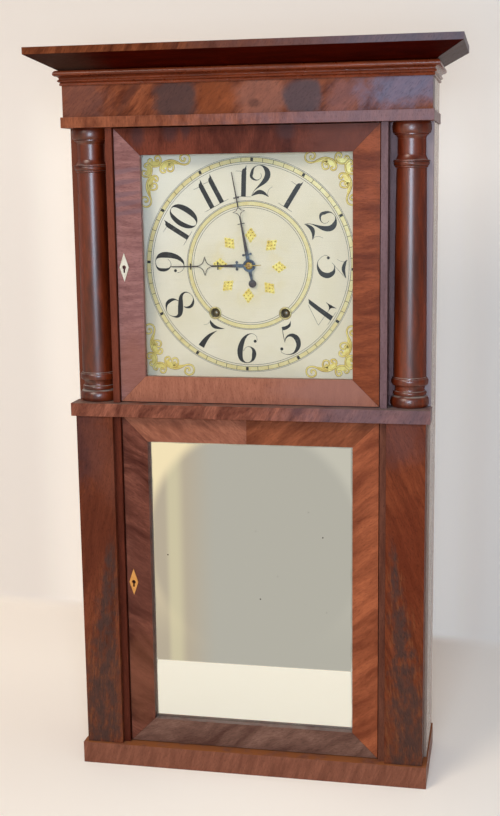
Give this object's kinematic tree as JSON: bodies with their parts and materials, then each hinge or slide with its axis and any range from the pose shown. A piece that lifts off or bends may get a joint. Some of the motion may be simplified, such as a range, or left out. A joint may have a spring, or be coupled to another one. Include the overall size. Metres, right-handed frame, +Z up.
{
  "type": "shelf clock",
  "caption": "Tall wooden shelf clock with half columns, cornice, glazed dial door, looking-glass door, pendulum, falling weights, geared wooden movement and strike bell.",
  "frame": {"origin": "middle of the clock's box, on the ground under its base", "axes": "+Z up, +X to the right as seen from the front, front towards -Y"},
  "size_m": [0.503, 0.162, 0.89],
  "materials": {
    "secondary_wood": "bare, aged",
    "mahogany": "polished veneer",
    "dark_mahogany": "polished veneer",
    "orange_mahogany": "polished veneer",
    "movement_wood": "bare",
    "painted_dial": "cream paint with gilding",
    "glass": "clear",
    "looking_glass": "silvered, slightly aged",
    "bone": "smooth bone",
    "maple": "waxed",
    "steel": "blued",
    "brass": "old",
    "cast_iron": "rough",
    "cord": "twisted cotton"
  },
  "bodies": {
    "case": {"backboard": "secondary_wood", "bottom_board": "secondary_wood", "left_side_board": "secondary_wood", "right_side_board": "secondary_wood", "top_board": "secondary_wood", "movement_rails": "secondary_wood", "left_channel_partition": "mahogany", "right_channel_partition": "mahogany", "cornice": "mahogany", "bed_moulding": "mahogany", "frieze_board": "mahogany", "base_moulding": "mahogany", "left_stile": "mahogany", "frieze_band": "dark_mahogany", "mid_rail": "dark_mahogany", "left_column_board": "dark_mahogany", "right_column_board": "dark_mahogany", "left_column": "dark_mahogany", "right_column": "dark_mahogany", "right_stile": "orange_mahogany", "front_plate": "movement_wood", "back_plate": "movement_wood", "dial_board": "painted_dial", "upper_door_top_pin": "steel", "upper_door_bottom_pin": "steel", "lower_door_top_pin": "steel", "lower_door_bottom_pin": "steel", "bell": "brass", "time_cord": "cord", "strike_cord": "cord"},
    "upper_door": {"upper_door_frame": "mahogany", "upper_door_glass": "glass", "upper_escutcheon": "bone"},
    "lower_door": {"lower_door_frame": "mahogany", "mirror": "looking_glass", "mirror_backing": "secondary_wood", "lower_escutcheon": "maple"},
    "minute_arbor": {"minute_arbor": "movement_wood", "minute_hand": "steel"},
    "hour_wheel": {"hour_wheel": "movement_wood", "hour_hand": "steel"},
    "motion_wheel": {"motion_wheel": "movement_wood"},
    "time_great_wheel": {"time_great_wheel": "movement_wood"},
    "time_drum": {"time_drum": "movement_wood"},
    "time_third_wheel": {"time_third_wheel": "movement_wood"},
    "escape_wheel": {"escape_wheel": "brass"},
    "strike_pin_wheel": {"strike_pin_wheel": "movement_wood"},
    "strike_great_wheel": {"strike_great_wheel": "movement_wood", "count_wheel": "brass"},
    "strike_drum": {"strike_drum": "movement_wood"},
    "strike_third_wheel": {"strike_third_wheel": "movement_wood"},
    "strike_fly": {"strike_fly": "movement_wood"},
    "time_weight": {"time_weight": "cast_iron"},
    "strike_weight": {"strike_weight": "cast_iron"},
    "time_pulley": {"time_pulley": "movement_wood"},
    "strike_pulley": {"strike_pulley": "movement_wood"},
    "pendulum": {"pendulum_rod": "steel", "pendulum_bob": "brass"},
    "verge": {"verge": "steel"},
    "hammer": {"hammer": "steel"}
  },
  "joints": [
    {"name": "upper_door_hinge", "type": "hinge", "parent": "case", "child": "upper_door", "pos_m": [0.1548, -0.036, 0.6347], "axis": [0, 0, 1], "range_deg": [0, 100]},
    {"name": "lower_door_hinge", "type": "hinge", "parent": "case", "child": "lower_door", "pos_m": [0.1548, -0.036, 0.2408], "axis": [0, 0, 1], "range_deg": [0, 100]},
    {"name": "minute_arbor_turn", "type": "hinge", "parent": "case", "child": "minute_arbor", "pos_m": [0, 0, 0.6355], "axis": [0, 1, 0], "continuous": true},
    {"name": "hour_wheel_turn", "type": "hinge", "parent": "case", "child": "hour_wheel", "pos_m": [0, 0, 0.6355], "axis": [0, 1, 0], "continuous": true},
    {"name": "motion_wheel_turn", "type": "hinge", "parent": "case", "child": "motion_wheel", "pos_m": [-0.026, 0, 0.6355], "axis": [0, 1, 0], "continuous": true},
    {"name": "time_great_wheel_turn", "type": "hinge", "parent": "case", "child": "time_great_wheel", "pos_m": [0.043, 0, 0.5785], "axis": [0, 1, 0], "continuous": true},
    {"name": "time_third_wheel_turn", "type": "hinge", "parent": "case", "child": "time_third_wheel", "pos_m": [0.03708, 0, 0.65522], "axis": [0, 1, 0], "continuous": true},
    {"name": "escape_wheel_turn", "type": "hinge", "parent": "case", "child": "escape_wheel", "pos_m": [0.0137, 0, 0.67861], "axis": [0, 1, 0], "continuous": true},
    {"name": "strike_pin_wheel_turn", "type": "hinge", "parent": "case", "child": "strike_pin_wheel", "pos_m": [-0.04691, 0, 0.62313], "axis": [0, 1, 0], "continuous": true},
    {"name": "strike_great_wheel_turn", "type": "hinge", "parent": "case", "child": "strike_great_wheel", "pos_m": [-0.043, 0, 0.5785], "axis": [0, 1, 0], "continuous": true},
    {"name": "strike_third_wheel_turn", "type": "hinge", "parent": "case", "child": "strike_third_wheel", "pos_m": [-0.03427, 0, 0.66444], "axis": [0, 1, 0], "continuous": true},
    {"name": "strike_fly_turn", "type": "hinge", "parent": "case", "child": "strike_fly", "pos_m": [-0.05337, 0, 0.68353], "axis": [0, 1, 0], "continuous": true},
    {"name": "time_weight_lift", "type": "slide", "parent": "case", "child": "time_weight", "axis": [0, 0, 1], "range_m": [0, 0.45], "deforming": ["time_cord"]},
    {"name": "strike_weight_lift", "type": "slide", "parent": "case", "child": "strike_weight", "axis": [0, 0, 1], "range_m": [0, 0.45], "deforming": ["strike_cord"]},
    {"name": "time_drum_winding", "type": "hinge", "parent": "time_great_wheel", "child": "time_drum", "pos_m": [0.043, 0, 0.5785], "axis": [0, 1, 0], "range_deg": [0, 1760]},
    {"name": "strike_drum_winding", "type": "hinge", "parent": "strike_great_wheel", "child": "strike_drum", "pos_m": [-0.043, 0, 0.5785], "axis": [0, 1, 0], "range_deg": [-1760, 0]},
    {"name": "time_pulley_turn", "type": "hinge", "parent": "case", "child": "time_pulley", "pos_m": [0.1684, 0, 0.868], "axis": [0, 1, 0], "range_deg": [-1470, 0]},
    {"name": "strike_pulley_turn", "type": "hinge", "parent": "case", "child": "strike_pulley", "pos_m": [-0.1684, 0, 0.868], "axis": [0, 1, 0], "range_deg": [0, 1470]},
    {"name": "pendulum_swing", "type": "hinge", "parent": "case", "child": "pendulum", "pos_m": [0.0137, 0, 0.70661], "axis": [0, 1, 0], "range_deg": [-3, 3]},
    {"name": "verge_rock", "type": "hinge", "parent": "case", "child": "verge", "pos_m": [0.0137, 0, 0.70661], "axis": [0, 1, 0], "range_deg": [-3, 3]},
    {"name": "hammer_lift", "type": "hinge", "parent": "case", "child": "hammer", "pos_m": [-0.092, 0, 0.5605], "axis": [0, 1, 0], "range_deg": [0, 12]}
  ],
  "couplings": [
    {"joint": "hour_wheel_turn", "follows": "minute_arbor_turn", "ratio": 0.083333},
    {"joint": "motion_wheel_turn", "follows": "minute_arbor_turn", "ratio": -0.33333},
    {"joint": "time_great_wheel_turn", "follows": "minute_arbor_turn", "ratio": -0.16667},
    {"joint": "time_third_wheel_turn", "follows": "minute_arbor_turn", "ratio": -9},
    {"joint": "escape_wheel_turn", "follows": "minute_arbor_turn", "ratio": 85.5},
    {"joint": "strike_great_wheel_turn", "follows": "strike_pin_wheel_turn", "ratio": -0.16667},
    {"joint": "strike_third_wheel_turn", "follows": "strike_pin_wheel_turn", "ratio": -8},
    {"joint": "strike_fly_turn", "follows": "strike_pin_wheel_turn", "ratio": 64},
    {"joint": "time_drum_winding", "follows": "time_weight_lift", "rad_per_m": 68.027},
    {"joint": "time_pulley_turn", "follows": "time_weight_lift", "rad_per_m": -56.818},
    {"joint": "strike_drum_winding", "follows": "strike_weight_lift", "rad_per_m": -68.027},
    {"joint": "strike_pulley_turn", "follows": "strike_weight_lift", "rad_per_m": 56.818},
    {"joint": "verge_rock", "follows": "pendulum_swing", "ratio": 1}
  ]
}
